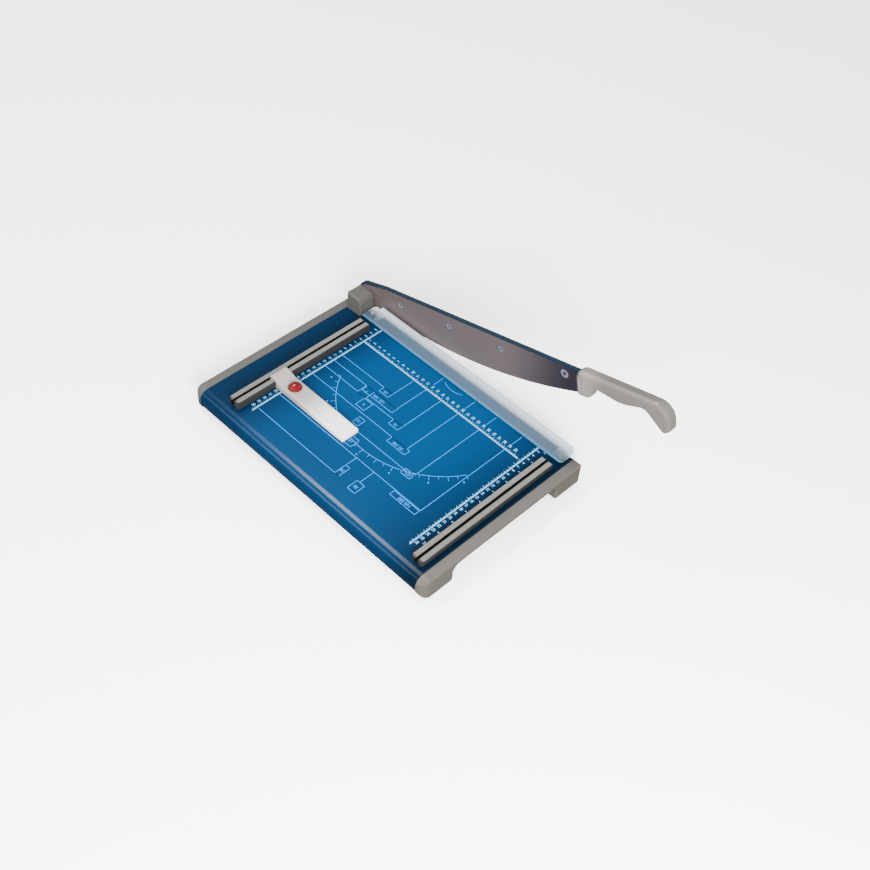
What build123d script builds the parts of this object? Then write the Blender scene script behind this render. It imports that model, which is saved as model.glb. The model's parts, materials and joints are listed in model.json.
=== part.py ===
"""Desk guillotine for A4 paper: folded steel table, plastic end caps, a hinged knife with its
handle, a clear finger guard that presses the paper, and a back gauge that slides on a rail.

Frame: origin at the middle of the base's footprint, on the desk. +X is the knife side, +Y the
hinge end, +Z up. The operator stands at -Y. All sizes are in millimetres.
"""
from build123d import *
from math import cos, radians, sin, sqrt
import os

os.makedirs("parts", exist_ok=True)

# ------------------------------------------------------------------ driving sizes: base
BASE_WIDTH = 302.0        # left wall to the cutting plane
BASE_LENGTH = 460.0       # front face to rear face of the end caps
TABLE_TOP = 36.0          # table surface above the desk
SHEET = 2.0               # steel of the table plate
SIDE_BEND = 14.0          # outer bend radius along the left edge
EDGE_BEND = 2.5           # outer bend radius at the knife side
WALL_BOTTOM = 14.0        # lower edge of the folded walls
CAP_DEPTH = 15.0          # end cap, along Y
CAP_WALL = 2.6            # moulded wall of the end caps
CAP_ROUND = 2.6           # outer edge rounding of the end caps
CAP_SWEEP = SIDE_BEND     # their left end curves in as wide as the bend, seen from above and at the foot
CAP_CORNER = 4.5          # their right end, seen from above
CAP_RIGHT_GAP = 1.8       # end cap behind the cutting plane, clears the knife handle
FOOT_BOTTOM = 1.5         # end cap's feet above the desk
LEFT_FOOT = 54.0          # foot lengths along X
RIGHT_FOOT = 51.0
ARCH_TOP = 28.0           # underside of the bridge between the feet
ARCH_ROUND = 11.0
SMALL_ROUND = 4.5         # the other corners of the cap outline
SHELF_DEPTH = 8.0         # ledge of the cap under the table plate
PAD_LENGTH = 34.0         # rubber pads, stadium shaped
PAD_WIDTH = 8.5
PAD_HEIGHT = 3.0
TAB_DROP = 20.0           # screw tabs folded down at the plate's ends
TAB_WIDTH = 34.0
TAB_SCREW_DROP = 12.4     # their screws below the table top
TAB_TO_FOOT = 5.5         # a tab's edge to the foot's inner end
BOSS_WALL = 1.5           # screw bosses inside the caps, round the screw
STIFFENER_WIDTH = 32.0    # hat section channels under the plate
STIFFENER_HEIGHT = 8.0
STIFFENER_SHEET = 1.5
STIFFENER_WEB = 19.2      # closed side of the hat
STIFFENER_INSET = 26.0    # channel ends inside the base's sides
STIFFENER_SPACING = 150.0

# ------------------------------------------------------------------ driving sizes: bed knife
BED_KNIFE = 3.0           # thickness
BED_KNIFE_DEPTH = 19.0
BED_KNIFE_FRONT = 29.0    # its front end behind the base's front face
BED_KNIFE_RELIEF = 1.2    # ground off below the shearing edge
BED_SCREW_COUNT = 4
BED_SCREW_INSET = 24.0    # end screws from the bed knife's ends
BED_SCREW_DROP = 10.0     # screw row below the table top

# ------------------------------------------------------------------ driving sizes: rails
RAIL_WIDTH = 19.6
RAIL_LEFT_INSET = 19.0    # left ends inside the base's left side
RAIL_RIGHT_INSET = 38.0   # right ends to the cutting plane
FRONT_RAIL_START = 23.2   # front rail's front face behind the base's front face
REAR_RAIL_START = 56.1    # rear rail's back face in front of the base's rear face
FRONT_RAIL_HEIGHT = 8.0
REAR_RAIL_HEIGHT = 12.0
RAIL_END_ROUND = 5.0      # rounded corners at the left ends
SLOT_WIDTH = 3.8
T_WIDTH = 9.0             # wide part of the T slot
LIP = 2.6                 # lips over the T slot
REAR_SLOT_DEPTH = 7.5
FRONT_SLOT_DEPTH = 6.0
RAIL_SCREW_INSET = 20.0   # screws from the rail's ends
RAIL_SCREW_SIDE = 7.2     # screws either side of the slot

# ------------------------------------------------------------------ driving sizes: hinge
PIVOT_FROM_REAR = 30.0    # pivot axis in front of the base's rear face
PIVOT_HEIGHT = 52.0
ARM_ANGLE = 14.78         # knife arm above the horizontal as stored
SHEAR_GAP = 0.1           # moving knife to bed knife
RUNNING = 0.05            # radial clearance of running fits
SHOULDER_R = 6.0          # pivot bolt's shoulder
THREAD_R = 4.0
BUSH_R = 8.0              # bronze bush, outside
BOLT_HEAD_R = 9.0
BOLT_HEAD = 4.2
WASHER_R = 11.5
SPRING_WASHERS = 2.0      # disc spring pack, thickness
PIVOT_WASHER = 1.2
BRACKET_THICK = 14.0
BRACKET_WIDTH = 24.0
NUT_WIDTH = 13.0          # across flats
NUT_THICK = 5.0
LOCK_WASHER = 1.0
LOCK_WASHER_R = 7.5
COVER_WIDTH = 27.0        # hinge cover, along X
COVER_LENGTH = 29.6       # hinge cover, along Y
COVER_HEIGHT = 29.0
COVER_WALL = 2.5
COVER_FRONT_ROUND = 7.0
COVER_ROUND = 2.2
BRACKET_SCREW_SPACING = 14.0
BRACKET_SCREW_INSET = 4.5
BRACKET_ROUND = 5.0
BRACKET_ABOVE_BOLT = 4.0  # metal over the bolt's shoulder
BOLT_CHAMFER = 1.2
BOLT_SOCKET_R = 3.5
BOLT_SOCKET = 2.5         # its depth
BOLT_PAST_NUT = 1.5
DISC_SPRING = 0.7         # thickness of one disc

# ------------------------------------------------------------------ driving sizes: knife arm
# Lengths run from the pivot towards the handle, heights square to the arm.
KNIFE = 3.0               # thickness
KNIFE_TOP = 22.5
KNIFE_SHORT = 12.0        # how much shorter the knife is than the base in front of the pivot
KNIFE_HINGE_R = 18.0
EDGE_LOW = -35.2          # lowest point of the curved cutting edge
EDGE_LOW_AT = 200.0
EDGE_RADIUS = 800.0
BEVEL_HEIGHT = 5.0
BEVEL_DEPTH = 2.2
BAR = 6.0                 # knife bar, thickness
BAR_TOP = 24.5
BAR_BOTTOM = -8.0
BAR_SHORT = 6.0           # the bar ends before the knife
BAR_HINGE_R = 21.0
BAR_TAPER = 40.0          # the bar reaches its full height here
TANG_LENGTH = 93.0        # past the end of the bar
TANG_TOP = 21.0
TANG_BOTTOM = 10.0
KNIFE_SCREW_FIRST = 75.0
KNIFE_SCREW_PITCH = 99.7
KNIFE_SCREW_COUNT = 3
KNIFE_SCREW_HEIGHT = 8.2
KNIFE_SCREW_HEAD_R = 4.3
KNIFE_SCREW_R = 2.0
FRONT_BOLT_INSET = 29.0   # from the knife's end
FRONT_BOLT_HEIGHT = 13.4
FRONT_BOLT_HEAD_R = 6.4
FRONT_BOLT_R = 3.5
FRONT_BOLT_SOCKET_R = 2.5
FRONT_BOLT_SOCKET = 2.4   # its depth
SCREW_SHORT = 0.3         # screw ends stay this far inside the last piece
HANDLE_THICK = 17.9
HANDLE_LEFT = -0.9        # left cheek, from the cutting plane
HANDLE_TOP = 27.5
HANDLE_ROUND = 5.0
HANDLE_SCREW_AT = 68.0    # past the end of the bar
HANDLE_SCREW_R = 2.5
HANDLE_SCREW_HEAD_R = 4.5
HANDLE_SCREW_HEAD = 2.5
HANDLE_SCREW_PAST = 2.0   # how far it goes into the cheek behind the tang
HANDLE_POCKET_GAP = 1.0   # how far the knife's pocket is open at the nose

# ------------------------------------------------------------------ driving sizes: guard
GUARD_WIDTH = 24.2
GUARD_GAP = 1.8           # outer face to the cutting plane
GUARD_LIFT = 3.5          # above the table while it is up
GUARD_HEIGHT = 19.7       # to the point of its outer top edge, before rounding
GUARD_LIP = 4.5           # height of the inner lip
GUARD_WALL = 3.0
GUARD_ROUND = 4.0         # rounding of the lip, the shoulder is three times as round
GUARD_NOSE_ROUND = 9.0    # rounded front end of the hood, seen from the side
GUARD_NOSE_CORNER = 5.0   # and seen from above
GUARD_SHOULDER = (12.5, 16.0)   # where the sloping face turns into the crest
GUARD_FRONT = 16.0        # from the base's front face
GUARD_COVER_GAP = 3.2     # rear end to the hinge cover
GUARD_TAIL = 21.0         # rear lug behind the hood
GUARD_FLOOR = 4.0         # thickness of the guide lugs
POST_R = 2.5
POST_HEAD_R = 3.5
POST_HEAD = 1.3
POST_INSET = 9.5          # posts from the guard's ends
SPRING_SEAT_R = 4.4
SPRING_SEAT = 2.5
GUARD_SPRING_R = 3.5
GUARD_SPRING_TURNS = 3.0
SPRING_WIRE = 0.7         # square section
WIRE_STANDS = 1.12        # the tilted wire takes this much of its side in height

# ------------------------------------------------------------------ driving sizes: back gauge
GAUGE_FROM_CUT = 202.0    # gauge centre to the cutting plane, as stored
GAUGE_WIDTH = 28.6
GAUGE_REACH = 139.4       # in front of the rail
GAUGE_GAP = 0.3           # above the table
GAUGE_RAIL_GAP = 0.5      # to the rail's front and top
GAUGE_TIP_HEIGHT = 8.0
GAUGE_HEIGHT = 10.2
GAUGE_HEAD = 2.4          # thickness over the rail
GAUGE_LAP = 12.0          # how far the head covers the rail
GAUGE_HEAD_EDGE = 2.6     # thickness of its back edge
GAUGE_HUMP_FRONT = 14.5   # its hump starts this far in front of the rail
GAUGE_WALL = 2.2
GAUGE_ROUND = 2.0
GAUGE_FLOOR = 1.5         # bottom plate
GAUGE_SHOULDER = 3.0      # flat round the button, before the arm slopes down
BUTTON_FROM_RAIL = 25.4
BUTTON_R = 9.7
BUTTON_FIT = 0.3
BUTTON_FLANGE = 1.4       # flange wider than the button
BUTTON_FLANGE_THICK = 0.8
BUTTON_TRAVEL = 1.8
BUTTON_RIM = 0.5          # rim above the gauge
BUTTON_DOME = 6.0
BUTTON_ROOF_GAP = 0.6     # flange to the gauge's roof while it is up
BRAKE_WIDTH = 16.0
BRAKE_HEIGHT = 3.0
BRAKE_SLOT = 3.0          # slanted slot of the brake slider, along Y
BRAKE_PAD = 4.0
BRAKE_FIT = 0.15
LEG_WIDTH = 8.0           # the button's slanted leg, along X
LEG_GAP = 0.1             # leg to the bottom plate when pressed
BUTTON_SPRING_R = 2.9
BUTTON_SPRING_TURNS = 3.0
SHOE_SHORT = 4.6          # shoe shorter than the gauge is wide
SHOE_FIT = 0.3
SHOE_GROOVE = 0.8         # how deep its stem sits in the head

# ------------------------------------------------------------------ small fasteners
SMALL_SCREW_R = 1.5
SMALL_HEAD_R = 2.8
SMALL_HEAD = 2.0
MEDIUM_SCREW_R = 2.0
MEDIUM_HEAD_R = 3.5
MEDIUM_HEAD = 2.4
THREAD_LENGTH = 8.0

# ------------------------------------------------------------------ worked out from them
LEFT = -BASE_WIDTH / 2
CUT_X = BASE_WIDTH / 2
FRONT = -BASE_LENGTH / 2
REAR = BASE_LENGTH / 2
PLATE_RIGHT = CUT_X - BED_KNIFE
PLATE_FRONT = FRONT + CAP_DEPTH
PLATE_REAR = REAR - CAP_DEPTH
PLATE_UNDER = TABLE_TOP - SHEET
CAP_RIGHT = CUT_X - CAP_RIGHT_GAP
LEFT_FOOT_END = LEFT + LEFT_FOOT
RIGHT_FOOT_END = CAP_RIGHT - RIGHT_FOOT
TAB_X = (LEFT_FOOT_END - TAB_TO_FOOT - TAB_WIDTH / 2, RIGHT_FOOT_END + TAB_TO_FOOT + TAB_WIDTH / 2)
TAB_SCREW_Z = TABLE_TOP - TAB_SCREW_DROP
PAD_Y = FRONT + (CAP_ROUND + CAP_DEPTH) / 2
PAD_X = ((LEFT + CAP_SWEEP + LEFT_FOOT_END) / 2, (RIGHT_FOOT_END + CAP_RIGHT) / 2)

RAIL_X = (LEFT + RAIL_LEFT_INSET, CUT_X - RAIL_RIGHT_INSET)
FRONT_RAIL_Y = FRONT + FRONT_RAIL_START + RAIL_WIDTH / 2
REAR_RAIL_Y = REAR - REAR_RAIL_START - RAIL_WIDTH / 2
REAR_RAIL_FACE = REAR_RAIL_Y - RAIL_WIDTH / 2       # 341.5 from the front rail's inner face

PIVOT_Y = REAR - PIVOT_FROM_REAR
HINGE_FACE = CUT_X - 1.0                # bracket and cover end here, inside the cutting plane
KNIFE_LEFT = CUT_X + SHEAR_GAP
KNIFE_RIGHT = KNIFE_LEFT + KNIFE
BAR_RIGHT = KNIFE_RIGHT + BAR
BRACKET_LEFT = HINGE_FACE - BRACKET_THICK
HANDLE_RIGHT = CUT_X + HANDLE_LEFT + HANDLE_THICK
KNIFE_END = PIVOT_Y - FRONT - KNIFE_SHORT
BAR_END = KNIFE_END - BAR_SHORT
TANG_END = BAR_END + TANG_LENGTH

GUARD_RIGHT = CUT_X - GUARD_GAP
GUARD_LEFT = GUARD_RIGHT - GUARD_WIDTH
GUARD_BOTTOM = TABLE_TOP + GUARD_LIFT
GUARD_X = (GUARD_LEFT + GUARD_RIGHT) / 2
GUARD_Y = (FRONT + GUARD_FRONT, PIVOT_Y - COVER_LENGTH / 2 - GUARD_COVER_GAP)
HOOD_END = GUARD_Y[1] - GUARD_TAIL
LUG_TOP = GUARD_BOTTOM + GUARD_FLOOR
POST_Y = (GUARD_Y[0] + GUARD_WALL + POST_INSET, GUARD_Y[1] - POST_INSET)

GAUGE_X = CUT_X - GAUGE_FROM_CUT
GAUGE_BOTTOM = TABLE_TOP + GAUGE_GAP
GAUGE_TOP = GAUGE_BOTTOM + GAUGE_HEIGHT
GAUGE_FRONT = REAR_RAIL_FACE - GAUGE_REACH
GAUGE_BACK = REAR_RAIL_FACE - GAUGE_RAIL_GAP
HEAD_UNDER = TABLE_TOP + REAR_RAIL_HEIGHT + GAUGE_RAIL_GAP
HEAD_TOP = HEAD_UNDER + GAUGE_HEAD
HEAD_END_TOP = HEAD_UNDER + GAUGE_HEAD_EDGE
HEAD_BACK = REAR_RAIL_FACE + GAUGE_LAP
BUTTON_Y = REAR_RAIL_FACE - BUTTON_FROM_RAIL
SLOPE_END = BUTTON_Y - BUTTON_R - GAUGE_SHOULDER
HUMP_START = REAR_RAIL_FACE - GAUGE_HUMP_FRONT
SHOE_LENGTH = GAUGE_WIDTH - SHOE_SHORT
GAUGE_ROOF = GAUGE_TOP - GAUGE_WALL     # inside of the gauge's top wall
BRAKE_BOTTOM = GAUGE_BOTTOM + GAUGE_FLOOR + BRAKE_FIT
BRAKE_TOP = BRAKE_BOTTOM + BRAKE_HEIGHT
FLANGE_TOP = GAUGE_ROOF - BUTTON_ROOF_GAP
FLANGE_UNDER = FLANGE_TOP - BUTTON_FLANGE_THICK


# ------------------------------------------------------------------ helpers
STANDING = (Align.CENTER, Align.CENTER, Align.MIN)      # from the local origin upwards
HANGING = (Align.CENTER, Align.CENTER, Align.MAX)       # and downwards


def arm_plane(x):
    """Plane of the knife arm at the given X: its x runs along the arm from the pivot."""
    along = (0, -cos(radians(ARM_ANGLE)), sin(radians(ARM_ANGLE)))
    return Plane(origin=(x, PIVOT_Y, PIVOT_HEIGHT), x_dir=along, z_dir=(-1, 0, 0))


def edge_height(along):
    """Height of the curved cutting edge at a length along the arm."""
    return EDGE_LOW + EDGE_RADIUS - sqrt(EDGE_RADIUS**2 - (along - EDGE_LOW_AT) ** 2)


def screw(shank_r, length, head_r, head_height):
    """Screw along local +Z with its head below the local origin."""
    Cylinder(shank_r, length, align=STANDING)
    Cylinder(head_r, head_height, align=HANGING)


def countersunk(shank_r, length, head_r):
    """Countersunk screw along local +Z, its flush head at the local origin."""
    head_depth = head_r - shank_r
    Cylinder(shank_r, length, align=STANDING)
    Cone(head_r, shank_r, head_depth, align=STANDING)


def save(piece, name):
    """Label a finished piece and write its STEP file."""
    piece.part.label = name
    export_step(piece.part, f"parts/{name}.step")


# ------------------------------------------------------------------ places used more than once
RAIL_SCREWS = [Location((x, y + RAIL_SCREW_SIDE, PLATE_UNDER)) for y in (FRONT_RAIL_Y, REAR_RAIL_Y)
               for x in (RAIL_X[0] + RAIL_SCREW_INSET, RAIL_X[1] - RAIL_SCREW_INSET)]
FRONT_CAP_SCREWS = [Plane((x, PLATE_FRONT + SHEET, TAB_SCREW_Z), z_dir=(0, -1, 0)).location for x in TAB_X]
REAR_CAP_SCREWS = [Plane((x, PLATE_REAR - SHEET, TAB_SCREW_Z), z_dir=(0, 1, 0)).location for x in TAB_X]
BED_KNIFE_Y = (FRONT + BED_KNIFE_FRONT, PLATE_REAR)
BED_SCREW_PITCH = (BED_KNIFE_Y[1] - BED_KNIFE_Y[0] - 2 * BED_SCREW_INSET) / (BED_SCREW_COUNT - 1)
BED_SCREWS = [Plane((PLATE_RIGHT - SHEET, BED_KNIFE_Y[0] + BED_SCREW_INSET + i * BED_SCREW_PITCH,
                     TABLE_TOP - BED_SCREW_DROP), z_dir=(1, 0, 0)).location
              for i in range(BED_SCREW_COUNT)]
BRACKET_SCREWS = [Location((BRACKET_LEFT + BRACKET_SCREW_INSET, PIVOT_Y + side, PLATE_UNDER))
                  for side in (-BRACKET_SCREW_SPACING / 2, BRACKET_SCREW_SPACING / 2)]
POSTS = [Location((GUARD_X, y, TABLE_TOP)) for y in POST_Y]
PADS = [Location((x, y, 0)) for x in PAD_X for y in (PAD_Y, -PAD_Y)]


# ================================================================== base
with BuildPart() as table_plate:
    # Folded section: a wide bend down the left side and a tight one beside the bed knife.
    with BuildSketch(Plane.XZ.offset(-PLATE_REAR)):
        with BuildLine():
            FilletPolyline(
                (LEFT, WALL_BOTTOM), (LEFT, TABLE_TOP), (PLATE_RIGHT, TABLE_TOP), (PLATE_RIGHT, WALL_BOTTOM),
                radius=[SIDE_BEND, EDGE_BEND],
            )
            offset(amount=SHEET, side=Side.RIGHT)
        make_face()
    extrude(amount=PLATE_REAR - PLATE_FRONT)
    # Screw tabs folded down behind the feet of the end caps.
    for end in (PLATE_FRONT + SHEET / 2, PLATE_REAR - SHEET / 2):
        with Locations(*[(x, end, TABLE_TOP - SHEET) for x in TAB_X]):
            Box(TAB_WIDTH, SHEET, TAB_DROP - SHEET, align=HANGING)
    with Locations(*FRONT_CAP_SCREWS, *REAR_CAP_SCREWS):
        Cylinder(SMALL_SCREW_R, 2 * SHEET, mode=Mode.SUBTRACT)
    with Locations(*RAIL_SCREWS):
        Cylinder(SMALL_SCREW_R, 3 * SHEET, mode=Mode.SUBTRACT)
    with Locations(*BED_SCREWS):
        Cylinder(MEDIUM_SCREW_R, 3 * SHEET, mode=Mode.SUBTRACT)
    with Locations(*BRACKET_SCREWS):
        Cylinder(MEDIUM_SCREW_R, 3 * SHEET, mode=Mode.SUBTRACT)
    with Locations(*POSTS):
        Cylinder(SMALL_SCREW_R, 3 * SHEET, mode=Mode.SUBTRACT)
save(table_plate, "table_plate")

with BuildPart() as stiffeners:
    half, web = STIFFENER_WIDTH / 2, STIFFENER_WEB / 2
    for y in (-STIFFENER_SPACING / 2, STIFFENER_SPACING / 2):
        with BuildSketch(Plane((LEFT + STIFFENER_INSET, y, PLATE_UNDER), x_dir=(0, 1, 0), z_dir=(1, 0, 0))):
            with BuildLine():
                Polyline((-half, 0), (-web, 0), (-web, -STIFFENER_HEIGHT), (web, -STIFFENER_HEIGHT),
                         (web, 0), (half, 0))
                offset(amount=STIFFENER_SHEET, side=Side.RIGHT, kind=Kind.INTERSECTION)
            make_face()
        extrude(amount=BASE_WIDTH - 2 * STIFFENER_INSET)
save(stiffeners, "underside_stiffeners")


def cap_body(inset):
    """Solid of the front end cap moved inwards by the inset, its back flush with the plate's end."""
    with BuildPart(mode=Mode.PRIVATE) as body:
        with BuildSketch(Plane.XZ.offset(-PLATE_FRONT)):
            with BuildLine():
                FilletPolyline(
                    (LEFT, FOOT_BOTTOM), (LEFT, TABLE_TOP), (CAP_RIGHT, TABLE_TOP), (CAP_RIGHT, FOOT_BOTTOM),
                    (RIGHT_FOOT_END, FOOT_BOTTOM), (RIGHT_FOOT_END, ARCH_TOP),
                    (LEFT_FOOT_END, ARCH_TOP), (LEFT_FOOT_END, FOOT_BOTTOM),
                    radius=[CAP_SWEEP, SIDE_BEND, SMALL_ROUND, SMALL_ROUND,
                            SMALL_ROUND, ARCH_ROUND, ARCH_ROUND, SMALL_ROUND],
                    close=True,
                )
            make_face()
            if inset:
                offset(amount=-inset, mode=Mode.REPLACE)
        extrude(amount=CAP_DEPTH - inset)
        with BuildSketch():
            with Locations(((LEFT + CAP_RIGHT) / 2, PLATE_FRONT)):
                Rectangle(CAP_RIGHT - LEFT - 2 * inset, 2 * (CAP_DEPTH - inset))
            fillet(vertices().group_by(Axis.X)[0].sort_by(Axis.Y)[0], radius=CAP_SWEEP - inset)
            fillet(vertices().group_by(Axis.X)[-1].sort_by(Axis.Y)[0], radius=CAP_CORNER - inset)
        extrude(amount=TABLE_TOP, mode=Mode.INTERSECT)
    return body.part


with BuildPart() as front_end_cap:
    add(cap_body(0))
    straight = front_end_cap.edges().filter_by(Axis.Y) + front_end_cap.edges().filter_by(Axis.Z)
    rims = [edge for edge in front_end_cap.edges()
            if edge.center().Y < PLATE_FRONT - 1 and edge not in straight]
    fillet(rims, radius=CAP_ROUND)
    # Hollow moulding, open towards the table, with screw bosses and pad pockets.
    add(cap_body(CAP_WALL), mode=Mode.SUBTRACT)
    with Locations(*[place * Location((0, 0, SHEET)) for place in FRONT_CAP_SCREWS]):
        Cylinder(SMALL_SCREW_R + BOSS_WALL, CAP_DEPTH - CAP_WALL, align=STANDING)
        Cylinder(SMALL_SCREW_R, THREAD_LENGTH, align=STANDING, mode=Mode.SUBTRACT)
    # Ledge under the table plate, between the screw tabs.
    with Locations(((LEFT_FOOT_END + RIGHT_FOOT_END) / 2, PLATE_FRONT, PLATE_UNDER)):
        Box(RIGHT_FOOT_END - LEFT_FOOT_END, SHELF_DEPTH, PLATE_UNDER - ARCH_TOP,
            align=(Align.CENTER, Align.MIN, Align.MAX))
    with BuildSketch(Plane.XY.offset(FOOT_BOTTOM)):
        with Locations(*[(x, PAD_Y) for x in PAD_X]):
            SlotOverall(PAD_LENGTH, PAD_WIDTH)
    extrude(amount=PAD_HEIGHT - FOOT_BOTTOM, mode=Mode.SUBTRACT)
save(front_end_cap, "front_end_cap")

with BuildPart() as rear_end_cap:
    add(mirror(front_end_cap.part, about=Plane.XZ, mode=Mode.PRIVATE))
save(rear_end_cap, "rear_end_cap")

with BuildPart() as foot_pads:
    with BuildSketch():
        with Locations(*PADS):
            SlotOverall(PAD_LENGTH, PAD_WIDTH)
    extrude(amount=PAD_HEIGHT)
save(foot_pads, "foot_pads")

with BuildPart() as cap_screws:
    with Locations(*FRONT_CAP_SCREWS, *REAR_CAP_SCREWS):
        screw(SMALL_SCREW_R, THREAD_LENGTH, SMALL_HEAD_R, SMALL_HEAD)
save(cap_screws, "end_cap_screws")

# ================================================================== bed knife
with BuildPart() as bed_knife:
    with Locations(((PLATE_RIGHT + CUT_X) / 2, sum(BED_KNIFE_Y) / 2, TABLE_TOP)):
        Box(BED_KNIFE, BED_KNIFE_Y[1] - BED_KNIFE_Y[0], BED_KNIFE_DEPTH,
            align=HANGING)
    # Ground relief below the shearing edge.
    lower_edge = bed_knife.edges().filter_by(Axis.Y).sort_by(Axis.X)[-2:].sort_by(Axis.Z)[0]
    chamfer(lower_edge, length=BED_KNIFE_RELIEF)
    with Locations(*BED_SCREWS):
        Cylinder(MEDIUM_SCREW_R, 6 * SHEET, mode=Mode.SUBTRACT)
save(bed_knife, "bed_knife")

with BuildPart() as bed_knife_screws:
    with Locations(*BED_SCREWS):
        screw(MEDIUM_SCREW_R, SHEET + BED_KNIFE - SCREW_SHORT, MEDIUM_HEAD_R, MEDIUM_HEAD)
save(bed_knife_screws, "bed_knife_screws")


# ================================================================== rails
def rail_section(height, slot_depth):
    """Rail section on the YZ plane, its foot on the sketch's origin, with an open T slot."""
    Rectangle(RAIL_WIDTH, height, align=(Align.CENTER, Align.MIN))
    with Locations((0, height)):
        Rectangle(SLOT_WIDTH, 2 * LIP, mode=Mode.SUBTRACT)
    with Locations((0, height - LIP)):
        Rectangle(T_WIDTH, slot_depth - LIP, align=(Align.CENTER, Align.MAX), mode=Mode.SUBTRACT)


with BuildPart() as front_rail:
    with BuildSketch(Plane((RAIL_X[0], FRONT_RAIL_Y, TABLE_TOP), x_dir=(0, 1, 0), z_dir=(1, 0, 0))):
        rail_section(FRONT_RAIL_HEIGHT, FRONT_SLOT_DEPTH)
    extrude(amount=RAIL_X[1] - RAIL_X[0])
    corners = front_rail.edges().filter_by(Axis.Z).group_by(Axis.X)[0].sort_by(Axis.Y)
    fillet([corners[0], corners[-1]], radius=RAIL_END_ROUND)
    with Locations(*RAIL_SCREWS):
        Cylinder(SMALL_SCREW_R, THREAD_LENGTH - SHEET, align=STANDING,
                 mode=Mode.SUBTRACT)
save(front_rail, "front_rail")

with BuildPart() as rear_rail:
    with BuildSketch(Plane((RAIL_X[0], REAR_RAIL_Y, TABLE_TOP), x_dir=(0, 1, 0), z_dir=(1, 0, 0))):
        rail_section(REAR_RAIL_HEIGHT, REAR_SLOT_DEPTH)
    extrude(amount=RAIL_X[1] - RAIL_X[0])
    corners = rear_rail.edges().filter_by(Axis.Z).group_by(Axis.X)[0].sort_by(Axis.Y)
    fillet([corners[0], corners[-1]], radius=RAIL_END_ROUND)
    with Locations(*RAIL_SCREWS):
        Cylinder(SMALL_SCREW_R, THREAD_LENGTH - SHEET, align=STANDING,
                 mode=Mode.SUBTRACT)
save(rear_rail, "rear_rail")

with BuildPart() as rail_screws:
    with Locations(*RAIL_SCREWS):
        screw(SMALL_SCREW_R, THREAD_LENGTH - SHEET, SMALL_HEAD_R, SMALL_HEAD)
save(rail_screws, "rail_screws")

# ================================================================== hinge
with BuildPart() as hinge_bracket:
    top = PIVOT_HEIGHT + SHOULDER_R + BRACKET_ABOVE_BOLT
    with BuildSketch(Plane.YZ.offset(BRACKET_LEFT)):
        with Locations((PIVOT_Y, TABLE_TOP)):
            Rectangle(BRACKET_WIDTH, top - TABLE_TOP, align=(Align.CENTER, Align.MIN))
        with Locations((PIVOT_Y, PIVOT_HEIGHT)):
            Circle(THREAD_R, mode=Mode.SUBTRACT)
    extrude(amount=BRACKET_THICK)
    fillet(hinge_bracket.edges().filter_by(Axis.X).group_by(Axis.Z)[-1], radius=BRACKET_ROUND)
    with Locations(*BRACKET_SCREWS):
        Cylinder(MEDIUM_SCREW_R, THREAD_LENGTH, align=STANDING, mode=Mode.SUBTRACT)
save(hinge_bracket, "hinge_bracket")

with BuildPart() as bracket_screws:
    with Locations(*BRACKET_SCREWS):
        screw(MEDIUM_SCREW_R, THREAD_LENGTH, MEDIUM_HEAD_R, MEDIUM_HEAD)
save(bracket_screws, "bracket_screws")

with BuildPart() as hinge_cover:
    with Locations((HINGE_FACE, PIVOT_Y, TABLE_TOP)):
        Box(COVER_WIDTH, COVER_LENGTH, COVER_HEIGHT, align=(Align.MAX, Align.CENTER, Align.MIN))
    top_edges = hinge_cover.faces().sort_by(Axis.Z)[-1].edges()
    fillet(top_edges.filter_by(Axis.X).sort_by(Axis.Y)[0], radius=COVER_FRONT_ROUND)
    left_edges = hinge_cover.faces().sort_by(Axis.X)[0].edges()
    fillet(left_edges.sort_by(Axis.Z)[1:], radius=COVER_ROUND)
    with Locations((HINGE_FACE, PIVOT_Y, TABLE_TOP)):
        Box(COVER_WIDTH - COVER_WALL, COVER_LENGTH - 2 * COVER_WALL, COVER_HEIGHT - COVER_WALL,
            align=(Align.MAX, Align.CENTER, Align.MIN), mode=Mode.SUBTRACT)
save(hinge_cover, "hinge_cover")

WASHER_LEFT = BAR_RIGHT + RUNNING
SPRINGS_LEFT = WASHER_LEFT + PIVOT_WASHER
HEAD_LEFT = SPRINGS_LEFT + SPRING_WASHERS
NUT_LEFT = BRACKET_LEFT - LOCK_WASHER - NUT_THICK

with BuildPart() as pivot_bolt:
    with BuildSketch(Plane.YZ.offset(HINGE_FACE)):
        with Locations((PIVOT_Y, PIVOT_HEIGHT)):
            Circle(SHOULDER_R)
    extrude(amount=HEAD_LEFT - HINGE_FACE)
    with BuildSketch(Plane.YZ.offset(HEAD_LEFT)):
        with Locations((PIVOT_Y, PIVOT_HEIGHT)):
            Circle(BOLT_HEAD_R)
    extrude(amount=BOLT_HEAD)
    chamfer(pivot_bolt.faces().sort_by(Axis.X)[-1].edges(), length=BOLT_CHAMFER)
    with BuildSketch(Plane.YZ.offset(HEAD_LEFT + BOLT_HEAD)):
        with Locations((PIVOT_Y, PIVOT_HEIGHT)):
            RegularPolygon(BOLT_SOCKET_R, 6)
    extrude(amount=-BOLT_SOCKET, mode=Mode.SUBTRACT)
    with BuildSketch(Plane.YZ.offset(HINGE_FACE)):
        with Locations((PIVOT_Y, PIVOT_HEIGHT)):
            Circle(THREAD_R)
    extrude(amount=NUT_LEFT - BOLT_PAST_NUT - HINGE_FACE)
save(pivot_bolt, "pivot_bolt")

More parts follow.
